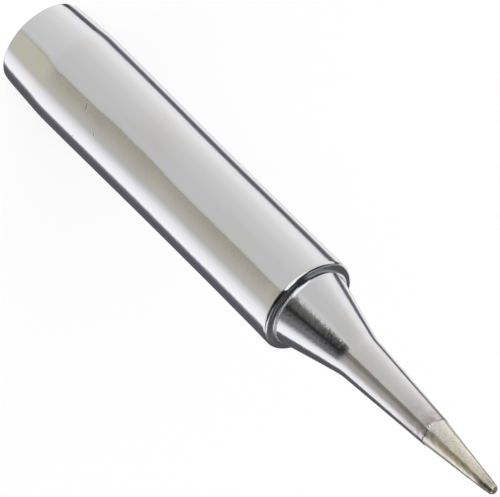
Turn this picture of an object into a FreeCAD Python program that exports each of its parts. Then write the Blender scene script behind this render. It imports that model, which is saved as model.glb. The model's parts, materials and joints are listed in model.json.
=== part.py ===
import FreeCAD, Part
import math
import os

# A soldering iron tip. It is one turned copper piece: a thick tube, the barrel, that a heater
# goes into, and a solid nose in front of it that narrows to a rounded point. It is plated all
# over, and the last stretch of the nose is tinned.
#
# The tip stands on its rear rim. +Z is its axis, towards the point, and the origin is the
# centre of the rim. All sizes are in millimetres. A height is measured along Z from the rim.

# Barrel
BORE_DIAMETER = 4.2
BARREL_WALL = 1.15
BARREL_LENGTH = 26.34
METAL_BEHIND_SHOULDER = 2.34
DRILL_POINT_ANGLE = 118.0
MOUTH_CHAMFER = 0.15

# Slight cone at the barrel's rear, which leads it into the iron's collar
LEAD_IN_LENGTH = 3.5
LEAD_IN_DEPTH = 0.23

# Nose
SHOULDER_WIDTH = 0.56
FLARE_LENGTH = 4.76
NECK_DIAMETER = 3.02
TAPER_LENGTH = 7.25
PLATING_EDGE_DIAMETER = 1.98
PLATING_STEP = 0.02
TINNED_LENGTH = 5.75
POINT_RADIUS = 0.36

# Rounding of the edges. Roundings may take up this share of a straight run between them.
RIM_ROUNDING = 0.08
LEAD_IN_BLEND = 6.0
SHOULDER_ROUNDING = 0.25
ROOT_FILLET = 0.3
NECK_BLEND = 3.0
ROUNDED_SHARE = 0.95

# Sizes that follow from the ones above
BORE_RADIUS = BORE_DIAMETER / 2
BARREL_RADIUS = BORE_RADIUS + BARREL_WALL
RIM_RADIUS = BARREL_RADIUS - LEAD_IN_DEPTH
BORE_DEPTH = BARREL_LENGTH - METAL_BEHIND_SHOULDER
DRILL_POINT_LENGTH = BORE_RADIUS / math.tan(math.radians(DRILL_POINT_ANGLE / 2))
ROOT_RADIUS = BARREL_RADIUS - SHOULDER_WIDTH
NECK_HEIGHT = BARREL_LENGTH + FLARE_LENGTH
PLATING_EDGE_HEIGHT = NECK_HEIGHT + TAPER_LENGTH
POINT_HEIGHT = PLATING_EDGE_HEIGHT + TINNED_LENGTH
PLATED_RADIUS = PLATING_EDGE_DIAMETER / 2
TINNED_RADIUS = PLATED_RADIUS - PLATING_STEP


def place(distance, height):
    """The point at a distance from the axis and a height, in the plane of the outline."""
    return FreeCAD.Vector(distance, 0, height)


def rounded_edges(corners):
    """Straight edges from corner to corner, with a tangent arc at each corner that has a radius.

    A corner is (distance from the axis, height, radius of its rounding). An arc takes up
    radius / tan(half the corner's angle) of each straight run beside it. Where the arcs at
    both ends of a run would take up more than all of it, they shrink until they fit.
    """
    points = [place(distance, height) for distance, height, radius in corners]
    runs = [(after - before).Length for before, after in zip(points, points[1:])]
    last = len(corners) - 1

    def sides(i):
        back = (points[i - 1] - points[i]).normalize()
        ahead = (points[i + 1] - points[i]).normalize()
        return back, ahead, back.getAngle(ahead) / 2

    reaches = [0.0] * len(corners)
    for i in range(1, last):
        reaches[i] = corners[i][2] / math.tan(sides(i)[2])

    def fit(i):
        """How much the arcs at both ends of a run shrink so that they fit on it."""
        room = ROUNDED_SHARE * runs[i]
        wanted = reaches[i] + reaches[i + 1]
        return room / wanted if wanted > room else 1.0

    edges = []
    start = points[0]
    for i in range(1, last):
        if reaches[i] == 0:
            edges.append(Part.makeLine(start, points[i]))
            start = points[i]
            continue
        back, ahead, half_angle = sides(i)
        reach = reaches[i] * min(fit(i - 1), fit(i))
        radius = reach * math.tan(half_angle)
        to_centre = (back + ahead).normalize()
        arc_start = points[i] + back * reach
        arc_middle = points[i] + to_centre * (radius / math.sin(half_angle) - radius)
        arc_end = points[i] + ahead * reach
        edges.append(Part.makeLine(start, arc_start))
        edges.append(Part.Arc(arc_start, arc_middle, arc_end).toShape())
        start = arc_end
    edges.append(Part.makeLine(start, points[last]))
    return edges


def point_edges():
    """The tinned end: a cone from the plating's edge that runs into a round point on the axis.

    The cone's side is the tangent from the plating's edge to the point's circle. Its length
    and its slope follow from the distance between that edge and the circle's centre.
    """
    centre_height = POINT_HEIGHT - POINT_RADIUS
    along = centre_height - PLATING_EDGE_HEIGHT
    to_centre = math.hypot(TINNED_RADIUS, along)
    slope = math.atan2(TINNED_RADIUS, along) - math.asin(POINT_RADIUS / to_centre)
    halfway = (slope + math.pi / 2) / 2

    cone_start = place(TINNED_RADIUS, PLATING_EDGE_HEIGHT)
    cone_end = place(POINT_RADIUS * math.cos(slope), centre_height + POINT_RADIUS * math.sin(slope))
    arc_middle = place(POINT_RADIUS * math.cos(halfway), centre_height + POINT_RADIUS * math.sin(halfway))
    arc = Part.Arc(cone_end, arc_middle, place(0, POINT_HEIGHT)).toShape()
    return [Part.makeLine(cone_start, cone_end), arc]


def soldering_tip():
    """The whole tip: half its section, from the bore's blind end round to the point, turned once."""
    bore_and_outside = [
        (0, BORE_DEPTH + DRILL_POINT_LENGTH, 0),
        (BORE_RADIUS, BORE_DEPTH, 0),
        (BORE_RADIUS, MOUTH_CHAMFER, 0),
        (BORE_RADIUS + MOUTH_CHAMFER, 0, 0),
        (RIM_RADIUS, 0, RIM_ROUNDING),
        (BARREL_RADIUS, LEAD_IN_LENGTH, LEAD_IN_BLEND),
        (BARREL_RADIUS, BARREL_LENGTH, SHOULDER_ROUNDING),
        (ROOT_RADIUS, BARREL_LENGTH, ROOT_FILLET),
        (NECK_DIAMETER / 2, NECK_HEIGHT, NECK_BLEND),
        (PLATED_RADIUS, PLATING_EDGE_HEIGHT, 0),
        (TINNED_RADIUS, PLATING_EDGE_HEIGHT, 0),
    ]
    edges = rounded_edges(bore_and_outside) + point_edges()
    edges.append(Part.makeLine(place(0, POINT_HEIGHT), place(0, BORE_DEPTH + DRILL_POINT_LENGTH)))
    half_section = Part.Face(Part.Wire(edges))
    return half_section.revolve(place(0, 0), FreeCAD.Vector(0, 0, 1), 360)


os.makedirs("parts", exist_ok=True)
tip = soldering_tip()
tip.exportStep("parts/soldering_tip.step")
print("soldering_tip: valid", tip.isValid(), "volume mm3", round(tip.Volume, 2), "height", tip.BoundBox.ZMax)
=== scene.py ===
import json
import math

import bpy
import numpy as np
from bpy.props import FloatProperty, FloatVectorProperty, IntProperty, PointerProperty
from mathutils import Matrix, Vector


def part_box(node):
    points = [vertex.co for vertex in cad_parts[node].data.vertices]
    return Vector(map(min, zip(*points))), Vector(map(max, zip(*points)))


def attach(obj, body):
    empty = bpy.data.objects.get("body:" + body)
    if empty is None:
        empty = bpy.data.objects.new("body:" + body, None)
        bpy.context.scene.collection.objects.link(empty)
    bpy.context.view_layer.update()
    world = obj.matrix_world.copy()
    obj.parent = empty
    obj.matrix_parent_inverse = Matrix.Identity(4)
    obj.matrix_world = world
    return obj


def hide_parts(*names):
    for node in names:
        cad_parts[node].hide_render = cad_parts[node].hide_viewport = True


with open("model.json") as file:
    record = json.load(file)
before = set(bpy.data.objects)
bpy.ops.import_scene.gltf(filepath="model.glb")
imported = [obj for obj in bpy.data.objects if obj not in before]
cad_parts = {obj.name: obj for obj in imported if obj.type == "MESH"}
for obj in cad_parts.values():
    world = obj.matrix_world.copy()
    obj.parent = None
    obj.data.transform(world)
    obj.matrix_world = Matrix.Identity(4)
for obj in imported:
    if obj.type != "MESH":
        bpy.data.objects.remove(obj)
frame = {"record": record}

# A soldering iron tip, chrome plated, with a tinned and slightly burnt working end. It stands on
# its rear rim at the origin and points up. Lengths are in metres, and heights run along Z.
# An angle round the axis is 0 towards -Y, the camera's side, and 90 degrees towards +X.

bl_info = {
    "name": "Soldering iron tip",
    "version": (1, 0, 0),
    "blender": (4, 5, 0),
    "location": "3D View > Sidebar > Tip",
    "description": "Turns a plated soldering iron tip and sets up the studio it is shown in",
    "category": "Add Mesh",
}

MM = 0.001
MOUNTS = {mount["name"]: mount for mount in frame["record"]["mounts"]}
POINT_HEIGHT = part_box("soldering_tip")[1].z
PICTURE_SIZE = (500, 497)

# Scratches and nicks in the plating: angle in degrees and height of both ends, and the width, in mm.
NICKS = [
    (10.0, 7.17, 13.2, 7.32, 0.11), (13.2, 7.32, 17.6, 7.43, 0.14), (54.6, 7.33, 55.4, 7.35, 0.11),
    (31.6, 8.85, 33.2, 8.91, 0.13), (-18.1, 13.26, -18.1, 13.27, 0.09), (0.0, 18.36, 0.2, 18.37, 0.11),
    (54.4, 2.13, 56.4, 2.21, 0.16), (53.2, 15.87, 54.2, 16.01, 0.16), (24.0, 11.47, 27.0, 11.67, 0.09),
]

# Specks and cracks in the tin, written like the nicks.
SPECKS = [
    (-6.7, 43.07, -6.7, 43.08, 0.09), (40.5, 39.83, 40.5, 39.85, 0.08), (-41.0, 41.34, -36.0, 41.52, 0.08),
    (-49.0, 42.02, -47.0, 42.08, 0.08), (9.0, 38.94, 11.0, 39.16, 0.07), (11.0, 39.16, 8.0, 39.24, 0.07),
    (-12.0, 39.80, -13.0, 39.86, 0.07), (8.0, 39.42, 9.0, 39.52, 0.06), (-55.0, 42.30, -52.0, 42.36, 0.08),
    (-37.0, 43.55, -36.0, 43.58, 0.08), (24.0, 40.6, 22.0, 40.9, 0.07), (-24.0, 40.25, -22.0, 40.3, 0.06),
]


class TipShape(bpy.types.PropertyGroup):
    """The tip's sizes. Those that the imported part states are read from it."""

    barrel_radius: FloatProperty(
        name="Barrel radius", description="Outside radius of the straight barrel",
        default=MOUNTS["barrel"]["dims"]["r_mm"] * MM, unit="LENGTH")
    shoulder_height: FloatProperty(
        name="Shoulder height", description="Height of the flat step between barrel and nose",
        default=MOUNTS["shoulder"]["pos_m"][2], unit="LENGTH")
    bore_radius: FloatProperty(
        name="Bore radius", description="Radius of the blind hole for the heater",
        default=MOUNTS["heater_bore"]["dims"]["r_mm"] * MM, unit="LENGTH")
    bore_floor: FloatProperty(
        name="Bore floor", description="Height from the bore's blind end to the shoulder",
        default=2.34 * MM, unit="LENGTH")
    drill_point: FloatProperty(
        name="Drill point", description="Full angle of the cone at the bore's blind end",
        default=math.radians(118), subtype="ANGLE")
    mouth_chamfer: FloatProperty(
        name="Mouth chamfer", description="Width of the chamfer at the bore's mouth",
        default=0.15 * MM, unit="LENGTH")
    lead_in_length: FloatProperty(
        name="Lead-in length", description="Height of the slight cone at the rear",
        default=3.5 * MM, unit="LENGTH")
    lead_in_depth: FloatProperty(
        name="Lead-in depth", description="How much smaller the rear rim's radius is than the barrel's",
        default=0.23 * MM, unit="LENGTH")
    shoulder_width: FloatProperty(
        name="Shoulder width", description="Width of the step between barrel and nose",
        default=0.56 * MM, unit="LENGTH")
    flare_length: FloatProperty(
        name="Flare length", description="Height of the steep cone in front of the shoulder",
        default=4.76 * MM, unit="LENGTH")
    flare_dip: FloatProperty(
        name="Flare dip", description="How far the steep cone lies inside a straight line, near its end",
        default=0.015 * MM, unit="LENGTH")
    dip_length: FloatProperty(
        name="Dip length", description="Height from the deepest place of that dip to the neck",
        default=1.75 * MM, unit="LENGTH")
    dip_blend: FloatProperty(
        name="Dip blend", description="Radius of the curve through the dip",
        default=60.0 * MM, unit="LENGTH")
    neck_radius: FloatProperty(
        name="Neck radius", description="Radius where the steep cone ends and the slender one starts",
        default=1.51 * MM, unit="LENGTH")
    taper_length: FloatProperty(
        name="Taper length", description="Height of the slender cone, up to the plating's edge",
        default=7.25 * MM, unit="LENGTH")
    plating_edge_radius: FloatProperty(
        name="Plating edge radius", description="Radius of the nose where its plating ends",
        default=0.99 * MM, unit="LENGTH")
    plating_step: FloatProperty(
        name="Plating step", description="How far the plating stands above the tinned end",
        default=0.03 * MM, unit="LENGTH")
    tin_rise: FloatProperty(
        name="Tin rise", description="Height over which the tin climbs onto the plating's edge",
        default=0.055 * MM, unit="LENGTH")
    point_radius: FloatProperty(
        name="Point radius", description="Radius of the round point",
        default=0.36 * MM, unit="LENGTH")
    rim_rounding: FloatProperty(
        name="Rim rounding", description="Rounding of the rear rim's outer edge",
        default=0.08 * MM, unit="LENGTH")
    lead_in_blend: FloatProperty(
        name="Lead-in blend", description="Radius of the curve from the rear cone into the barrel",
        default=14.0 * MM, unit="LENGTH")
    shoulder_rounding: FloatProperty(
        name="Shoulder rounding", description="Rounding of the shoulder's outer edge",
        default=0.27 * MM, unit="LENGTH")
    root_fillet: FloatProperty(
        name="Root fillet", description="Hollow curve from the shoulder into the nose",
        default=0.36 * MM, unit="LENGTH")
    neck_blend: FloatProperty(
        name="Neck blend", description="Radius of the curve between the two cones of the nose",
        default=5.0 * MM, unit="LENGTH")
    ring_points: IntProperty(name="Ring points", description="Points round the axis", default=360)


class TipFinish(bpy.types.PropertyGroup):
    """The colours of the tip's finishes."""

    plating: FloatVectorProperty(
        name="Plating", description="Polished chrome", subtype="COLOR", default=(0.82, 0.82, 0.825))
    tarnish: FloatVectorProperty(
        name="Tarnish", description="Plating that heat has dulled, next to the tinned end",
        subtype="COLOR", default=(0.58, 0.53, 0.50))
    haze: FloatVectorProperty(
        name="Haze", description="Faint brown patches in the plating", subtype="COLOR",
        default=(0.76, 0.73, 0.68))
    stain: FloatVectorProperty(
        name="Stain", description="Brown specks of heat stain at the plating's edge", subtype="COLOR",
        default=(0.42, 0.35, 0.31))
    # Painted highlight: a bright colour on the plating edge's facet that stands in for its glint.
    painted_glint: FloatVectorProperty(
        name="Worn", description="Bright metal where the plating's edge is rubbed", subtype="COLOR",
        default=(0.95, 0.94, 0.92))
    tin: FloatVectorProperty(
        name="Tin", description="Clean tin", subtype="COLOR", default=(0.96, 0.945, 0.845))
    flux: FloatVectorProperty(
        name="Flux", description="Tin under a film of old flux", subtype="COLOR", default=(0.92, 0.875, 0.70))
    amber: FloatVectorProperty(
        name="Amber", description="Tin where the flux has run together", subtype="COLOR",
        default=(0.88, 0.76, 0.52))
    oxide: FloatVectorProperty(
        name="Oxide", description="Thin grey-brown film near the point", subtype="COLOR",
        default=(0.50, 0.42, 0.38))
    # Dark brown for charred flux on the point, and also for painted shade along the plating's seam.
    burnt_and_seam_shade: FloatVectorProperty(
        name="Burnt", description="Burnt flux on the point", subtype="COLOR", default=(0.22, 0.18, 0.145))
    # Dark grey for dirt in the nicks, and for painted shade in the shoulder's hollow.
    grime_and_hollow_shade: FloatVectorProperty(
        name="Grime", description="Dull grey in the hollow of the shoulder", subtype="COLOR",
        default=(0.20, 0.21, 0.23))
    bore: FloatVectorProperty(
        name="Bore", description="Bare drilled metal", subtype="COLOR", default=(0.30, 0.25, 0.22))


class Studio(bpy.types.PropertyGroup):
    """Camera, light and floor."""

    camera_distance: FloatProperty(
        name="Camera distance", description="From the camera to the point on the axis that it is aimed by",
        default=0.6, unit="LENGTH")
    aim_height: FloatProperty(
        name="Aim height", description="Height of that point above the floor",
        default=26.1 * MM, unit="LENGTH")
    aim_pixel: FloatVectorProperty(
        name="Aim pixel", description="Where the picture shows that point, in pixels from its upper left",
        size=2, default=(306.5, 304.8))
    camera_elevation: FloatProperty(
        name="Camera elevation", description="Angle of that line above the horizontal",
        default=math.radians(30.04), subtype="ANGLE")
    axis_slant: FloatProperty(
        name="Axis slant", description="Angle of the tip's axis below the picture's horizontal",
        default=math.radians(44.77), subtype="ANGLE")
    focal_pixels: FloatProperty(
        name="Focal pixels", description="Focal length in pixels of the picture", default=10085.0)
    tent_strength: FloatProperty(
        name="Tent strength", description="Brightness of the light tent round the tip", default=1.0)
    floor_grey: FloatProperty(
        name="Floor grey", description="How much light the floor scatters", default=0.5)
    floor_glow: FloatProperty(
        name="Floor glow", description="What the camera sees on top of that, to make it white", default=0.78)


def unit(vector):
    return vector / np.linalg.norm(vector)


def rounded_outline(corners):
    """Points along straight runs and tangent arcs, as rows of (radius, height).

    A corner is (radius, height, rounding, steps in the run that leads to it). With h as half
    the corner's angle, the arc starts rounding / tan(h) before the corner and its centre is
    rounding / sin(h) away from it. A run's points stand closer near its ends: they are at
    (1 - cos(t)) / 2 of its length, in equal steps of t from 0 to pi.
    """
    arc_step = math.radians(5)
    places = np.array([corner[:2] for corner in corners])
    start = places[0]
    stretches = [places[:1]]
    for i in range(1, len(corners)):
        rounding, steps = corners[i][2:]
        stop = places[i]
        arc = places[:0]
        if rounding > 0:
            back = unit(places[i - 1] - places[i])
            ahead = unit(places[i + 1] - places[i])
            half = math.acos(back @ ahead) / 2
            turn = math.pi - 2 * half
            centre = places[i] + unit(back + ahead) * rounding / math.sin(half)
            stop = places[i] + back * rounding / math.tan(half)
            leave = places[i] + ahead * rounding / math.tan(half)
            share = np.linspace(0, 1, 3 + math.ceil(turn / arc_step))[1:, None]
            arc = centre + ((stop - centre) * np.sin((1 - share) * turn)
                            + (leave - centre) * np.sin(share * turn)) / math.sin(turn)
        share = (1 - np.cos(np.linspace(0, np.pi, steps + 1)[1:, None])) / 2
        stretches += [start + (stop - start) * share, arc]
        start = arc[-1] if rounding > 0 else stop
    return np.concatenate(stretches)


def point_outline(start, point_radius, cone_steps, arc_steps):
    """The tinned end: a straight side that runs into a round point, as rows of (radius, height).

    The side is the tangent from its start to the point's circle. The circle's points are at
    (radius * cos(t), centre + radius * sin(t)), with t from the side's slope to a right angle.
    """
    centre = POINT_HEIGHT - point_radius
    along = centre - start[1]
    slope = math.atan2(start[0], along) - math.asin(point_radius / math.hypot(start[0], along))
    t = np.linspace(slope, np.pi / 2, arc_steps + 1)
    arc = np.stack([point_radius * np.cos(t), centre + point_radius * np.sin(t)], axis=-1)
    share = np.linspace(0, 1, cone_steps + 1)[:-1, None]
    return np.concatenate([start + (arc[0] - start) * share, arc])


def waves(angle, height, seed, size, orders, lengths, count=14):
    """A smooth random offset: the sum of cosines of (order * angle + height / length + phase)."""
    random = np.random.default_rng(seed)
    total = np.zeros(np.broadcast(angle, height).shape)
    for _ in range(count):
        order = random.integers(orders[0], orders[1] + 1)
        length = random.uniform(*lengths) * random.choice([-1, 1]) / (2 * np.pi)
        total += np.cos(order * angle + height / length + random.uniform(0, 2 * np.pi))
    return total * size / math.sqrt(count / 2)


def ramp(value, low, high):
    """0 below low, 1 above high, and x * x * (3 - 2 * x) between them. low may be above high."""
    x = np.clip((value - low) / (high - low), 0, 1)
    return x * x * (3 - 2 * x)


def barrel_waist(height):
    """How much the barrel's radius differs from a straight one's, as polishing leaves it.

    The rear is a little thicker. Towards the middle the barrel thins, and near the shoulder it
    regains part of that.
    """
    thinned = ramp(height, 4.5 * MM, 16.5 * MM)
    regained = ramp(height, 20 * MM, 26.8 * MM)
    return (0.018 - 0.07 * thinned * (1 - 0.46 * regained)) * MM


def polish_turn(height):
    """Degrees by which polishing turned the barrel's surface aside: at the rear and in the middle."""
    rear = ramp(height, 4.6 * MM, 2.2 * MM)
    middle = ramp(height, 8 * MM, 9.8 * MM) * ramp(height, 15.4 * MM, 14.3 * MM)
    return 3.4 * rear + 2.2 * middle - 0.5


def ragged_edge(degrees):
    """How far the plating's edge lies above its lowest place, where it is rubbed. It has one tongue."""
    rubbed = np.exp(-((degrees + 3) / 13) ** 2)
    tongue = np.exp(-((degrees - 36) / 7) ** 2)
    return (0.085 * (1 - rubbed) + 0.09 * tongue) * MM


def tip_rings(shape):
    """The tip's surface as rings of points, and the number of rings in the bore and the plating.

    Each ring is a circle at one point of the outline. It is moved a little: polishing has left
    the barrel some hundredths of a millimetre out of true, the plating ends in a ragged line,
    and the tin lies in low lumps and is abraded round the point. The tin's first ring lies higher
    and further in where the edge is rubbed, which widens the bright facet there.
    """
    rim_radius = shape.barrel_radius - shape.lead_in_depth
    root_radius = shape.barrel_radius - shape.shoulder_width
    shoulder = shape.shoulder_height
    neck = shoulder + shape.flare_length
    edge = neck + shape.taper_length
    blind = shoulder - shape.bore_floor
    drill_length = shape.bore_radius / math.tan(shape.drill_point / 2)
    tin_radius = shape.plating_edge_radius - shape.plating_step
    straight = shape.neck_radius + (root_radius - shape.neck_radius) * shape.dip_length / shape.flare_length

    bore = rounded_outline([
        (0, blind + drill_length, 0, 0),
        (shape.bore_radius, blind, 0, 4),
        (shape.bore_radius, shape.mouth_chamfer, 0, 8),
    ])
    plated = rounded_outline([
        (shape.bore_radius, shape.mouth_chamfer, 0, 0),
        (shape.bore_radius + shape.mouth_chamfer, 0, 0, 2),
        (rim_radius, 0, shape.rim_rounding, 4),
        (shape.barrel_radius, shape.lead_in_length, shape.lead_in_blend, 12),
        (shape.barrel_radius, shoulder, shape.shoulder_rounding, 44),
        (root_radius, shoulder, shape.root_fillet, 2),
        (straight - shape.flare_dip, neck - shape.dip_length, shape.dip_blend, 12),
        (shape.neck_radius, neck, shape.neck_blend, 8),
        (shape.plating_edge_radius, edge, 0, 30),
    ])
    tin_start = np.array([tin_radius, edge + shape.tin_rise])
    tinned = point_outline(tin_start, shape.point_radius, 60, 14)
    outline = np.concatenate([bore, plated[1:], tinned])

    angle = np.arange(shape.ring_points) * (2 * np.pi / shape.ring_points)
    radius = outline[:, :1]
    height = outline[:, 1:]
    outside = np.arange(len(outline))[:, None] >= len(bore)
    on_barrel = outside * ramp(height, 0, 0.5 * MM) * ramp(height, shoulder - 0.2 * MM, shoulder - 1.5 * MM)
    on_tin = ramp(height, edge, edge + 0.4 * MM) * np.minimum(radius / shape.point_radius, 1)
    degrees = (np.degrees(angle) + 180) % 360 - 180
    waist = barrel_waist(height) * (0.78 + 0.22 * np.sin(angle))
    aside = (degrees - 8) / 14
    turned = -np.radians(polish_turn(height)) * math.radians(14) * shape.barrel_radius
    turned = turned * aside * np.exp(-aside ** 2 / 2)
    barrel_waves = waist + turned + waves(angle, height, 3, 0.003 * MM, (2, 7), (9 * MM, 40 * MM))
    tin_lumps = (waves(angle, height, 5, 0.0016 * MM, (1, 5), (1.2 * MM, 3 * MM))
                 + waves(angle, height, 7, 0.0015 * MM, (4, 12), (0.5 * MM, 1.2 * MM)))
    wear = 0.018 * MM * np.exp(-((height - POINT_HEIGHT + 0.35 * MM) / (0.25 * MM)) ** 2)
    rag = ragged_edge(degrees) + waves(angle, 0, 13, 0.012 * MM, (14, 40), (MM, MM))
    first_tin = np.arange(len(outline))[:, None] == len(bore) + len(plated) - 1
    rubbed = first_tin * np.exp(-((degrees + 5) / 10) ** 2)
    near_edge = outside * np.exp(-((height - edge) / (0.3 * MM)) ** 2)

    radius = radius + barrel_waves * on_barrel + (tin_lumps - wear) * on_tin - 0.02 * MM * rubbed
    height = height + rag * near_edge + 0.05 * MM * rubbed
    rings = np.stack([radius * np.sin(angle), -radius * np.cos(angle), height], axis=-1)
    return rings, len(bore), len(bore) + len(plated)


def ring_mesh(name, rings, finishes):
    """A closed mesh from rings whose first and last are single points on the axis.

    Point j of ring i is joined to point j + 1 and to the same points of ring i + 1. The two end
    rings are one vertex each, which a fan of triangles joins to its neighbour. finishes gives
    for each material slot the number of rings before its end.
    """
    count = rings.shape[1]
    vertices = np.concatenate([rings[:1, 0], rings[1:-1].reshape(-1, 3), rings[-1:, 0]])
    row = 1 + np.arange(len(rings) - 3)[:, None] * count
    this = np.arange(count)
    after = (this + 1) % count
    quads = np.stack([row + this, row + after, row + count + after, row + count + this], axis=-1)
    top = len(vertices) - 1
    last_ring = top - count
    first_fan = np.stack([np.zeros(count, int), 1 + after, 1 + this], axis=-1)
    last_fan = np.stack([last_ring + this, last_ring + after, np.full(count, top)], axis=-1)
    mesh = bpy.data.meshes.new(name)
    faces = first_fan.tolist() + quads.reshape(-1, 4).tolist() + last_fan.tolist()
    mesh.from_pydata(vertices.tolist(), [], faces)
    ring_of_face = np.concatenate([np.zeros(count, int), np.repeat(np.arange(1, len(rings) - 2), count),
                                   np.full(count, len(rings) - 2)])
    slots = np.searchsorted(finishes, ring_of_face, side="right")
    mesh.polygons.foreach_set("material_index", slots.astype(np.int32))
    mesh.polygons.foreach_set("use_smooth", np.ones(len(slots), bool))
    mesh.set_sharp_from_angle(angle=math.radians(25))
    mesh.update()
    return mesh


class Wire:
    """The output of a node. Python's operators on it add Math nodes, so shader maths reads as maths."""

    def __init__(self, tree, socket=None):
        self.tree = tree
        self.socket = socket

    def node(self, kind, settings=None, inputs=None, output=0):
        """Add any node: its settings first, then the values or links of its sockets, by name or number."""
        made = self.tree.nodes.new(kind)
        for name, value in (settings or {}).items():
            if name != "stops":
                setattr(made, name, value)
                continue
            stops = made.color_ramp.elements
            while len(stops) < len(value):
                stops.new(1)
            for stop, (position, colour) in zip(stops, value):
                stop.position = position
                stop.color = (*colour, 1)
        for name, value in (inputs or {}).items():
            if isinstance(value, Wire):
                self.tree.links.new(value.socket, made.inputs[name])
            else:
                made.inputs[name].default_value = value
        return Wire(self.tree, made.outputs[output] if len(made.outputs) else None)

    def math(self, operation, *values, clamp=False):
        settings = {"operation": operation, "use_clamp": clamp}
        return self.node("ShaderNodeMath", settings, dict(enumerate(values)))

    def __add__(self, other):
        return self.math("ADD", self, other)

    def __sub__(self, other):
        return self.math("SUBTRACT", self, other)

    def __rsub__(self, other):
        return self.math("SUBTRACT", other, self)

    def __mul__(self, other):
        return self.math("MULTIPLY", self, other)

    def __neg__(self):
        return self.math("MULTIPLY", self, -1)

    __radd__ = __add__
    __rmul__ = __mul__

    def ramp(self, low, high):
        """0 where this is low, 1 where it is high, and smooth between. low may be above high."""
        settings = {"interpolation_type": "SMOOTHSTEP"}
        inputs = {"Value": self, "From Min": min(low, high), "From Max": max(low, high)}
        if low > high:
            inputs.update({"To Min": 1, "To Max": 0})
        return self.node("ShaderNodeMapRange", settings, inputs)

    def mix(self, first, second):
        """Colour first where this is 0, and colour second where it is 1."""
        ends = [value if isinstance(value, Wire) else (*value, 1) for value in (first, second)]
        return self.node("ShaderNodeMix", {"data_type": "RGBA"}, {0: self, 6: ends[0], 7: ends[1]}, output=2)

    def stretched(self, across, along):
        """This place, with X and Y times across and Z times along."""
        return self.vector("MULTIPLY", a=self, b=(across, across, along))

    def noise(self, across, along, detail=2.0, roughness=0.5):
        """Noise from 0 to 1 with about so many grains a metre, across and along the axis."""
        place = self.stretched(across, along)
        inputs = {"Vector": place, "Scale": 1.0, "Detail": detail, "Roughness": roughness}
        return self.node("ShaderNodeTexNoise", None, inputs)

    def from_axis(self):
        """This place's distance from the Z axis."""
        flat = self.stretched(1, 0)
        return flat.vector("LENGTH", "Value", a=flat)

    def vector(self, operation, output=0, **inputs):
        """A Vector Math node. Its inputs are named a, b, c and scale."""
        sockets = {{"a": 0, "b": 1, "c": 2, "scale": "Scale"}[name]: value for name, value in inputs.items()}
        return self.node("ShaderNodeVectorMath", {"operation": operation}, sockets, output)

    def near_line(self, start, end, width):
        """1 on the line from start to end, falling to 0 at half the width from it."""
        along = end - start
        offset = self.vector("SUBTRACT", a=self, b=tuple(start))
        share = offset.vector("DOT_PRODUCT", "Value", a=offset, b=tuple(along / max(along.dot(along), 1e-12)))
        share = share.math("MULTIPLY", share, 1.0, clamp=True)
        foot = offset.vector("SCALE", a=tuple(along), scale=share)
        apart = offset.vector("DISTANCE", "Value", a=offset, b=foot)
        return apart.ramp(width / 2, 0)


def metal(name):
    """An empty material with a metallic surface: its node tree, and a function that finishes it."""
    material = bpy.data.materials.new(name)
    material.use_nodes = True
    tree = material.node_tree
    tree.nodes.clear()
    place = Wire(tree).node("ShaderNodeTexCoord", output="Object")

    def finish(colour, roughness, relief, metallic=1.0):
        normal = place.node("ShaderNodeBump", None, {"Height": relief, "Distance": 1.0, "Strength": 1.0})
        surface = place.node("ShaderNodeBsdfPrincipled", None, {
            "Base Color": colour, "Metallic": metallic, "Roughness": roughness, "Normal": normal})
        place.node("ShaderNodeOutputMaterial", None, {"Surface": surface})
        return material

    return place, finish


def surface_place(radius, degrees, height):
    """The place at a distance from the axis, an angle round it and a height in millimetres."""
    angle = math.radians(degrees)
    return Vector((radius * math.sin(angle), -radius * math.cos(angle), height * MM))


def marks(place, rows, radius_at):
    """1 on the marks listed in rows, falling to 0 at half their width. radius_at takes a height in mm."""
    total = 0
    for first_angle, first_height, last_angle, last_height, width in rows:
        start = surface_place(radius_at(first_height), first_angle, first_height)
        end = surface_place(radius_at(last_height), last_angle, last_height)
        total = total + place.near_line(start, end, width * MM)
    return total


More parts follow.
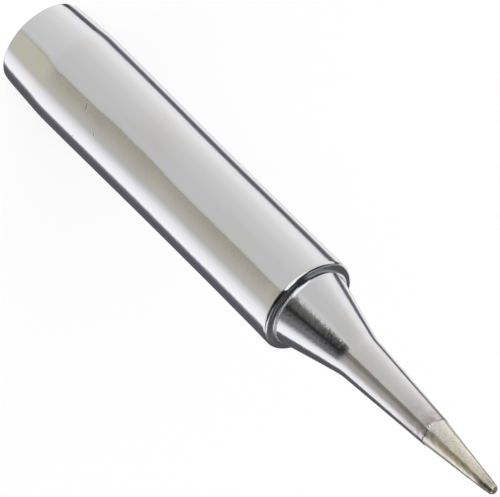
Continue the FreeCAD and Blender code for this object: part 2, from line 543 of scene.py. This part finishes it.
def plated_finish(shape, finish_colours):
    """Polished chrome over turned metal.

    The hollow behind the nose's root is darkened with painted shade, grainy dark grey, apart from
    the side towards -X, and has a grainy ring at its end. Heat has dulled the last stretch before
    the tin and left brown specks at the plating's edge. The edge's narrow facet has a painted
    glint where it is rubbed, and painted shade to both sides of that.
    """
    place, finish = metal("polished_plating")
    height = place.node("ShaderNodeSeparateXYZ", None, {0: place}, output="Z")
    from_axis = place.from_axis()
    shoulder = shape.shoulder_height
    neck = shoulder + shape.flare_length
    edge = neck + shape.taper_length
    fillet = shape.root_fillet
    root = shoulder + 0.76 * fillet

    peel = place.noise(1600, 700, detail=3)
    mottle = place.noise(5200, 3600, detail=2)
    grain = place.noise(15000, 15000, detail=2)
    x = place.node("ShaderNodeSeparateXYZ", None, {0: place}, output="X")
    on_nose = height.ramp(root, root + 0.3 * MM)
    on_shoulder = height.ramp(shoulder - 0.05 * MM, shoulder - 0.02 * MM) * height.ramp(root + 0.1 * MM, root)
    middle = x.ramp(-1.35 * MM, -0.85 * MM) * x.ramp(0.5 * MM, 0.2 * MM)
    # Painted shade mask: the shoulder's flat face and the hollow at the nose's root, reaching further up in
    # the middle.
    grime_and_hollow_shade = (height.ramp(shoulder - 0.04 * MM, shoulder - 0.01 * MM)
             * (height - middle * (0.12 * fillet)).ramp(shoulder + 0.34 * fillet, shoulder + 0.22 * fillet)
             * from_axis.ramp(shape.barrel_radius - 0.16 * MM, shape.barrel_radius - 0.24 * MM))
    ring = (height.ramp(shoulder + 0.28 * fillet, shoulder + 0.36 * fillet)
            * height.ramp(shoulder + 0.68 * fillet, shoulder + 0.56 * fillet) * x.ramp(0, 0.4 * MM))
    heat_patches = place.noise(2000, 1200, detail=4).ramp(0.25, 0.75)
    heated = height.ramp(edge - 3.2 * MM, edge - 0.2 * MM) * heat_patches
    heated = heated * 0.85 + height.ramp(neck, neck + MM) * 0.15

    nicks = marks(place, NICKS, lambda height_mm: shape.barrel_radius)
    stain = height.ramp(edge - 0.9 * MM, edge) * place.noise(3200, 2400, detail=3).ramp(0.42, 0.62)
    haze = place.noise(420, 160, detail=4).ramp(0.48, 0.72)
    lip = height.ramp(edge - 0.01 * MM, edge + 0.01 * MM)
    # Painted highlight mask: the part of the edge facet where the glint is painted.
    bright = x.ramp(0.10 * MM, 0.02 * MM) * x.ramp(-0.24 * MM, -0.14 * MM)
    # Painted shade mask: the edge facet to both sides of the glint.
    shade = x.ramp(0.4 * MM, 0.7 * MM) + x.ramp(-0.5 * MM, -0.7 * MM)
    grazing = place.node("ShaderNodeLayerWeight", None, {"Blend": 0.5}, output="Facing")

    colour = heated.mix(finish_colours.plating, finish_colours.tarnish)
    colour = (stain * 0.75).mix(colour, finish_colours.stain)
    colour = (haze * 0.35).mix(colour, finish_colours.haze)
    # Painted shade: a dark seam line along the plating's edge, in the dark brown of the point's flux.
    colour = (lip * shade * 0.4).mix(colour, finish_colours.burnt_and_seam_shade)
    # Painted glint on the plating's edge facet, where the edge is rubbed.
    colour = (lip * bright).mix(colour, finish_colours.painted_glint)
    # Painted shade: dark grey in the shoulder's hollow, grainy, strongest in the middle and none on the side
    # towards -X.
    colour = (grime_and_hollow_shade * grain.ramp(0.75, 0.35) * (middle * 0.65 + 0.35)
              * x.ramp(-1.35 * MM, -0.85 * MM)).mix(colour, finish_colours.grime_and_hollow_shade)
    colour = (nicks * 0.35).mix(colour, finish_colours.grime_and_hollow_shade)
    roughness = (0.055 + heated * 0.08 + on_nose * 0.03 + ring * 0.42 + grime_and_hollow_shade * 0.1
                 + grazing.ramp(0.45, 0.9) * height.ramp(neck + 2 * MM, edge) * 0.3)
    on_side = height.ramp(0.02 * MM, 0.12 * MM)
    relief = (peel * on_side * (4e-3 * MM) + mottle * on_side * (on_nose + 1.5) * (2e-3 * MM)
              - nicks * (8e-3 * MM)
              + grain * (ring * 250 + on_shoulder * 6 + 1) * (0.1e-3 * MM))
    return finish(colour, roughness, relief, 1 - ring * grain.ramp(0.36, 0.54) * 0.8)


def tinned_finish(shape, finish_colours):
    """Tin that flowed and set in low lumps, yellowed by flux and charred at the point.

    The burn is a cap on the point, mottled, and a dark streak that runs back from it. The
    streak lies along the plane through the axis that is burn_angle from the camera's side.
    """
    place, finish = metal("tinned_end")
    x = place.node("ShaderNodeSeparateXYZ", None, {0: place}, output="X")
    y = place.node("ShaderNodeSeparateXYZ", None, {0: place}, output="Y")
    height = place.node("ShaderNodeSeparateXYZ", None, {0: place}, output="Z")
    edge = shape.shoulder_height + shape.flare_length + shape.taper_length
    burn_angle = math.radians(41)
    amber_angle = math.radians(15)
    lumps = place.noise(1800, 1100, detail=3, roughness=0.6)
    grain = place.noise(7000, 5000, detail=3)
    patches = place.noise(4200, 3200, detail=3)
    yellow = place.noise(1300, 500, detail=3).ramp(0.35, 0.65)

    aside = (x * math.cos(burn_angle) + y * math.sin(burn_angle)) + (patches - 0.5) * (0.12 * MM)
    towards = x * math.sin(burn_angle) - y * math.cos(burn_angle)
    streak = (aside.math("ABSOLUTE", aside).ramp(0.26 * MM, 0.10 * MM) * towards.ramp(0, 0.1 * MM)
              * (height + patches * (0.5 * MM)).ramp(POINT_HEIGHT - 1.4 * MM, POINT_HEIGHT - 0.6 * MM)
              * height.ramp(POINT_HEIGHT - 0.08 * MM, POINT_HEIGHT - 0.2 * MM))
    near_point = height + (patches - 0.5) * (1.2 * MM) + x.ramp(-0.1 * MM, -0.35 * MM) * (0.6 * MM)
    film = (near_point.ramp(POINT_HEIGHT - 1.4 * MM, POINT_HEIGHT - 0.3 * MM)
            * (x.ramp(-0.08 * MM, -0.25 * MM) * 0.6 + 0.4))
    beside = x * math.cos(amber_angle) + y * math.sin(amber_angle)
    amber = (beside.ramp(-0.14 * MM, -0.02 * MM) * beside.ramp(0.36 * MM, 0.12 * MM) * y.ramp(0, -0.2 * MM)
             * height.ramp(edge + 0.1 * MM, edge + 0.6 * MM))
    tin_slope = (shape.plating_edge_radius - shape.plating_step - shape.point_radius) / (POINT_HEIGHT - edge)
    specks = marks(place, SPECKS, lambda height_mm: (
        shape.plating_edge_radius - shape.plating_step - tin_slope * 0.9 * (height_mm * MM - edge)))

    flux = yellow * height.ramp(edge + 0.3 * MM, edge + 1.5 * MM)
    colour = flux.mix(finish_colours.tin, finish_colours.flux)
    colour = (amber * (yellow * 0.4 + 0.6)).mix(colour, finish_colours.amber)
    pits = place.noise(12000, 9000, detail=2)
    colour = (pits.ramp(0.42, 0.70) * 0.36 + grain.ramp(0.45, 0.75) * 0.24).mix(colour, finish_colours.oxide)
    colour = (specks * 0.6).mix(colour, finish_colours.burnt_and_seam_shade)
    colour = (film * (patches.ramp(0.35, 0.6) * 0.5 + 0.5)).mix(colour, finish_colours.oxide)
    colour = streak.mix(colour, finish_colours.burnt_and_seam_shade)
    grazing = place.node("ShaderNodeLayerWeight", None, {"Blend": 0.5}, output="Facing")
    roughness = (0.19 + lumps * 0.1 - height.ramp(edge, edge + 3 * MM) * 0.09 + film * 0.04
                 + grazing.ramp(0.4, 0.9) * 0.35)
    relief = (lumps * (3.5e-3 * MM) + grain * (4.0e-3 * MM) + film * patches * (8e-3 * MM)
              - specks * (6e-3 * MM))
    return finish(colour, roughness, relief, 0.78)


def bore_finish(finish_colours):
    """Bare drilled metal, dulled by heat, with the drill's faint rings."""
    place, finish = metal("drilled_bore")
    rings = place.noise(300, 6000, detail=3)
    stain = place.noise(700, 400, detail=4).ramp(0.3, 0.7)
    scorched = (0.16, 0.13, 0.12)
    colour = stain.mix(finish_colours.bore, scorched)
    return finish(colour, 0.42 + stain * 0.2, rings * (4e-3 * MM))


class TIP_OT_turned_tip(bpy.types.Operator):
    """Turn the whole tip: barrel with its bore, shoulder, nose and tinned point"""

    bl_idname = "tip.turned_tip"
    bl_label = "Turned tip"

    def execute(self, context):
        shape = context.scene.tip_shape
        colours = context.scene.tip_finish
        rings, bore_rings, plated_rings = tip_rings(shape)
        mesh = ring_mesh("plated_tip", rings, [bore_rings - 1, plated_rings - 1])
        mesh.materials.append(bore_finish(colours))
        mesh.materials.append(plated_finish(shape, colours))
        mesh.materials.append(tinned_finish(shape, colours))
        tip = bpy.data.objects.new("plated_tip", mesh)
        context.scene.collection.objects.link(tip)
        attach(tip, "root")
        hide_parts("soldering_tip")
        return {"FINISHED"}


def tent_colour(place):
    """The light tent's colour by direction.

    Azimuth is 0 towards the camera and 90 degrees towards +X, and elevation is measured from
    the horizontal. Ramps by azimuth give the tent below the tip, level with it, in front of
    its neck, above it, and high up on the side away from +X. Elevation chooses between them.
    Masks lay single parts over that: walls, seams, pale panels and dark gaps. The places and
    colours are fitted to the bands that the plating shows in the picture.
    """
    x = place.node("ShaderNodeSeparateXYZ", None, {0: place}, output="X")
    y = place.node("ShaderNodeSeparateXYZ", None, {0: place}, output="Y")
    z = place.node("ShaderNodeSeparateXYZ", None, {0: place}, output="Z")
    azimuth = place.math("ARCTAN2", x, -y) * (180 / math.pi)
    elevation = place.math("ARCSINE", z) * (180 / math.pi)

    def around(*colours):
        stops = [((degrees + 180) / 360, colour) for degrees, colour in colours]
        return place.node("ShaderNodeValToRGB", {"stops": stops}, {0: azimuth * (1 / 360) + 0.5})

    dark = (0.115, 0.113, 0.135)
    darker = (0.090, 0.089, 0.103)
    far_left = [
        (-180, (0.20, 0.20, 0.21)), (-171, (0.25, 0.25, 0.26)), (-165, (0.93, 0.92, 0.94)),
        (-146, (0.93, 0.92, 0.94)), (-137, (0.20, 0.20, 0.22)), (-128, (0.10, 0.10, 0.12)),
        (-122, (0.20, 0.20, 0.22)), (-115, (0.91, 0.91, 0.94)), (-100, (0.96, 0.95, 0.95)),
    ]
    below = around(*far_left, (-76, (0.80, 0.79, 0.79)), (-48, (0.68, 0.68, 0.68)), (-16, (0.62, 0.62, 0.62)),
                   (15, (0.61, 0.615, 0.605)), (19, (0.403, 0.398, 0.34)), (23, (0.442, 0.434, 0.369)),
                   (44, (0.515, 0.496, 0.43)), (64, (0.56, 0.56, 0.53)), (74, (0.75, 0.75, 0.77)),
                   (86, (0.96, 0.96, 1.0)), (104, (1.09, 1.09, 1.12)), (112.5, (1.09, 1.09, 1.14)),
                   (118.5, (0.27, 0.268, 0.29)), (123, (0.165, 0.163, 0.185)), (128, (0.128, 0.126, 0.148)),
                   (134, dark), (178, dark))
    level = around(*far_left, (-74, (0.72, 0.715, 0.715)), (-48, (0.63, 0.63, 0.63)),
                   (-16, (0.605, 0.605, 0.61)),
                   (-8, (0.67, 0.67, 0.67)), (4, (0.69, 0.69, 0.68)), (12, (0.185, 0.183, 0.175)),
                   (24, (0.125, 0.124, 0.116)), (30, (0.10, 0.10, 0.096)), (35, (0.035, 0.035, 0.036)),
                   (40, (0.028, 0.028, 0.029)), (45, (0.095, 0.095, 0.094)), (51, (0.125, 0.124, 0.126)),
                   (56, (0.16, 0.16, 0.163)), (60, (0.205, 0.205, 0.215)), (68, (0.20, 0.20, 0.21)),
                   (73, (0.26, 0.26, 0.275)), (78, (0.44, 0.44, 0.47)), (82, (0.70, 0.70, 0.74)),
                   (92, (1.0, 1.0, 1.04)), (113, (1.09, 1.09, 1.14)), (119, darker), (178, darker))
    neck = around(*far_left, (-74, (0.70, 0.695, 0.695)), (-48, (0.62, 0.62, 0.62)),
                  (-16, (0.60, 0.60, 0.605)),
                  (-8, (0.67, 0.67, 0.67)), (-4, (0.69, 0.69, 0.69)), (3.5, (0.16, 0.16, 0.155)),
                  (10, (0.085, 0.086, 0.087)), (18, (0.048, 0.050, 0.053)), (28, (0.026, 0.028, 0.032)),
                  (38, (0.022, 0.023, 0.024)), (46, (0.046, 0.047, 0.050)), (53, (0.062, 0.063, 0.067)),
                  (60, (0.115, 0.115, 0.122)), (66, (0.145, 0.145, 0.155)), (76, (0.18, 0.18, 0.20)),
                  (82, (0.70, 0.70, 0.74)), (92, (1.0, 1.0, 1.04)), (113, (1.09, 1.09, 1.14)),
                  (119, darker), (178, darker))
    above = around((-180, (0.20, 0.20, 0.21)), (-171, (0.25, 0.25, 0.26)), (-165, (0.93, 0.92, 0.94)),
                   (-146, (0.93, 0.92, 0.94)), (-140, (0.65, 0.65, 0.66)), (-130, (0.33, 0.33, 0.34)),
                   (-121, (0.13, 0.13, 0.135)), (-112, (0.85, 0.85, 0.87)), (-100, (0.92, 0.92, 0.93)),
                   (-76, (0.75, 0.75, 0.75)), (-58, (0.66, 0.66, 0.66)), (-46, (0.85, 0.85, 0.85)),
                   (-34, (1.02, 1.02, 1.02)), (-20, (1.08, 1.08, 1.08)), (8, (1.08, 1.08, 1.08)),
                   (12, (0.030, 0.031, 0.035)), (30, (0.012, 0.012, 0.014)),
                   (50, (0.014, 0.014, 0.017)), (60, (0.05, 0.052, 0.058)), (80, (0.06, 0.062, 0.068)),
                   (92, (0.42, 0.42, 0.43)), (100, (0.95, 0.95, 0.98)), (112, (1.0, 1.0, 1.03)),
                   (121, (0.30, 0.30, 0.31)), (135, (0.22, 0.22, 0.23)), (146, (0.12, 0.12, 0.125)),
                   (160, (0.095, 0.095, 0.10)), (176, (0.10, 0.10, 0.107)))
    left = around((-178, (0.145, 0.148, 0.165)), (-156, (0.135, 0.138, 0.155)), (-147, (0.275, 0.28, 0.305)),
                  (-125, (0.29, 0.295, 0.32)), (-115, (0.19, 0.195, 0.215)), (-106, (0.085, 0.085, 0.09)),
                  (-96, (0.045, 0.046, 0.05)), (-72, (0.05, 0.05, 0.055)), (-60, (0.07, 0.07, 0.072)))
    leaning = elevation + azimuth * 0.53
    seam = leaning.ramp(50, 55) * leaning.ramp(76, 71) * azimuth.ramp(58, 66) * azimuth.ramp(118, 110)
    panel = (leaning.ramp(74, 79) * leaning.ramp(107, 94) * azimuth.ramp(92, 99)
             * (azimuth - elevation * 0.5).ramp(119, 104))
    line = leaning.ramp(75, 80) * elevation.ramp(62, 56) * azimuth.ramp(60, 72) * azimuth.ramp(125, 112)
    far_right = elevation.ramp(30, 38) * azimuth.ramp(140, 150)
    above = seam.mix(above, (0.05, 0.051, 0.055))
    right_wall = elevation.ramp(24, 34) * azimuth.ramp(84, 92)
    above = right_wall.mix(above, (0.20, 0.20, 0.205))
    above = far_right.mix(above, (0.105, 0.105, 0.11))
    above = line.mix(above, (0.26, 0.26, 0.265))
    above = panel.mix(above, (1.08, 1.08, 1.11))
    right_roof = (elevation + azimuth * 0.25).ramp(80, 88) * azimuth.ramp(4, 12)
    above = right_roof.mix(above, (0.06, 0.062, 0.068))
    front_roof = elevation.ramp(66, 74) * azimuth.ramp(12, 4)
    above = front_roof.mix(above, (0.040, 0.041, 0.046))
    left_gap = elevation.ramp(42, 50) * azimuth.ramp(-22, -34)
    above = left_gap.mix(above, (0.045, 0.046, 0.05))
    left_wall = (elevation - azimuth * 0.27).ramp(45, 54) * azimuth.ramp(-52, -62)
    above = left_wall.mix(above, left)
    left_roof = elevation.ramp(62, 69) * azimuth.ramp(-30, -40)
    above = left_roof.mix(above, (0.045, 0.046, 0.05))
    hollow = elevation.ramp(46, 38) * elevation.ramp(6, 12) * azimuth.ramp(-132, -146)
    above = hollow.mix(above, (0.098, 0.10, 0.112))
    patch = (elevation.ramp(57, 61) * elevation.ramp(68, 65)
             * azimuth.ramp(-88, -97) * azimuth.ramp(-150, -130))
    above = patch.mix(above, (0.32, 0.32, 0.325))
    near_neck = (elevation + azimuth * azimuth * 0.001).ramp(-2.0, -3.0) * elevation.ramp(-17, -10)
    level = near_neck.mix(level, neck)
    pale = elevation.ramp(-31, -38) * azimuth.ramp(14, 24) * azimuth.ramp(78, 62)
    below = pale.mix(below, (0.58, 0.57, 0.485))
    front_glow = elevation.ramp(-31, -38) * azimuth.ramp(14, 6)
    below = (front_glow * 0.13).mix(below, (1, 1, 1.04))
    share = elevation.ramp(-34, -21) * azimuth.ramp(12, 18) * (0.66 - azimuth.ramp(28, 46) * 0.32)
    fall = share + elevation.ramp(-21, -8) * (1 - share)
    tent = elevation.ramp(0, 5).mix(fall.mix(below, level), above)
    glow = (elevation.ramp(-12, -7) * elevation.ramp(12, 8)
            * azimuth.ramp(-127, -133) * azimuth.ramp(-162, -155))
    tent = glow.mix(tent, (0.82, 0.82, 0.84))
    core = (elevation.ramp(-14, -9) * elevation.ramp(8, 3)
            * azimuth.ramp(-134, -129) * azimuth.ramp(-117, -122))
    tent = core.mix(tent, (0.062, 0.062, 0.072))
    rear = elevation.ramp(-32, -37) * azimuth.ramp(-140, -133) * azimuth.ramp(-117, -123)
    return rear.mix(tent, (0.080, 0.080, 0.095))


def light_tent(scene, studio):
    """The world: the tent lights the tip and shows in it, and the camera sees plain white."""
    world = bpy.data.worlds.new("light_tent")
    world.use_nodes = True
    tree = world.node_tree
    tree.nodes.clear()
    place = Wire(tree).node("ShaderNodeTexCoord", output="Generated")
    seen = place.node("ShaderNodeLightPath", output="Is Camera Ray")
    walls = {"Color": tent_colour(place), "Strength": studio.tent_strength}
    tent = place.node("ShaderNodeBackground", None, walls)
    white = place.node("ShaderNodeBackground", None, {"Color": (1, 1, 1, 1), "Strength": 1.0})
    shown = place.node("ShaderNodeMixShader", None, {0: seen, 1: tent, 2: white})
    place.node("ShaderNodeOutputWorld", None, {"Surface": shown})
    scene.world = world


def pale_floor(scene, studio):
    """A floor that is white to the camera where it is lit, and keeps the tip's soft shadow."""
    size = 3.0
    mesh = bpy.data.meshes.new("floor")
    corners = [(-size, -size, 0), (size, -size, 0), (size, size, 0), (-size, size, 0)]
    mesh.from_pydata(corners, [], [(0, 1, 2, 3)])
    floor = bpy.data.objects.new("floor", mesh)
    scene.collection.objects.link(floor)
    material = bpy.data.materials.new("pale_floor")
    material.use_nodes = True
    tree = material.node_tree
    tree.nodes.clear()
    start = Wire(tree)
    seen = start.node("ShaderNodeLightPath", output="Is Camera Ray")
    paint = start.node("ShaderNodeBsdfDiffuse", None, {"Color": (studio.floor_grey,) * 3 + (1,)})
    light = {"Color": (1, 1, 1, 1), "Strength": seen * studio.floor_glow}
    glow = start.node("ShaderNodeEmission", None, light)
    both = start.node("ShaderNodeAddShader", None, {0: paint, 1: glow})
    start.node("ShaderNodeOutputMaterial", None, {"Surface": both})
    mesh.materials.append(material)
    floor.visible_glossy = False
    floor.visible_shadow = False


def photo_camera(scene, studio):
    """The camera, turned so that the aimed point and the axis fall where the picture has them.

    The same three directions are written in the camera's axes (right, down, forward) and in the
    tip's: the line of sight to the aimed point, and the two directions across it that are
    horizontal and downward in the picture. The turn takes the first three to the second.
    """
    middle = np.array(PICTURE_SIZE) / 2
    pixel = (np.array(studio.aim_pixel) - middle) / studio.focal_pixels
    sight = unit(np.array([*pixel, 1.0]))
    right = unit(np.array([1.0, 0, 0]) - sight * sight[0])
    seen = np.stack([right, np.cross(sight, right), sight], axis=1)

    elevation = studio.camera_elevation
    away = np.array([0, math.cos(elevation), -math.sin(elevation)])
    along = unit(np.array([0, 0, 1.0]) - away * away[2])
    beside = np.cross(away, along)
    slant = studio.axis_slant
    real = np.stack([math.cos(slant) * along - math.sin(slant) * beside,
                     math.sin(slant) * along + math.cos(slant) * beside, away], axis=1)
    turn = real @ seen.T
    place = np.array([0, 0, studio.aim_height]) - away * studio.camera_distance

    data = bpy.data.cameras.new("camera")
    data.sensor_width = 36.0
    data.lens = data.sensor_width * studio.focal_pixels / max(PICTURE_SIZE)
    data.clip_start = 0.01
    data.clip_end = 10.0
    camera = bpy.data.objects.new("camera", data)
    matrix = np.eye(4)
    matrix[:3, :3] = np.stack([turn[:, 0], -turn[:, 1], -turn[:, 2]], axis=1)
    matrix[:3, 3] = place
    camera.matrix_world = Matrix(matrix.tolist())
    scene.collection.objects.link(camera)
    scene.camera = camera


def soft_lamp(scene):
    """A wide lamp above the camera, which lights the floor and rounds its shadow."""
    data = bpy.data.lights.new("soft_lamp", "SUN")
    data.energy = 0.6
    data.angle = math.radians(50)
    lamp = bpy.data.objects.new("soft_lamp", data)
    lamp.rotation_euler = (math.radians(35), 0, math.radians(10))
    lamp.visible_glossy = False
    scene.collection.objects.link(lamp)


class TIP_OT_stage(bpy.types.Operator):
    """Set up the light tent, the lamp, the floor and the camera"""

    bl_idname = "tip.stage"
    bl_label = "Studio"

    def execute(self, context):
        scene = context.scene
        photo_camera(scene, scene.tip_studio)
        light_tent(scene, scene.tip_studio)
        soft_lamp(scene)
        pale_floor(scene, scene.tip_studio)
        scene.view_settings.view_transform = "Standard"
        return {"FINISHED"}


class TIP_PT_panel(bpy.types.Panel):
    """The tip's buttons and sizes, in the sidebar"""

    bl_label = "Soldering iron tip"
    bl_idname = "TIP_PT_panel"
    bl_space_type = "VIEW_3D"
    bl_region_type = "UI"
    bl_category = "Tip"

    def draw(self, context):
        scene = context.scene
        for operator in (TIP_OT_turned_tip, TIP_OT_stage):
            self.layout.operator(operator.bl_idname)
        for group in (scene.tip_shape, scene.tip_finish, scene.tip_studio):
            box = self.layout.box()
            for name in group.__annotations__:
                box.prop(group, name)


CLASSES = (TipShape, TipFinish, Studio, TIP_OT_turned_tip, TIP_OT_stage, TIP_PT_panel)


def register():
    for cls in CLASSES:
        bpy.utils.register_class(cls)
    bpy.types.Scene.tip_shape = PointerProperty(type=TipShape)
    bpy.types.Scene.tip_finish = PointerProperty(type=TipFinish)
    bpy.types.Scene.tip_studio = PointerProperty(type=Studio)


def unregister():
    del bpy.types.Scene.tip_studio
    del bpy.types.Scene.tip_finish
    del bpy.types.Scene.tip_shape
    for cls in reversed(CLASSES):
        bpy.utils.unregister_class(cls)


def main():
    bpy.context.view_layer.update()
    register()
    bpy.ops.tip.stage()
    bpy.ops.tip.turned_tip()


if __name__ == "__main__":
    main()
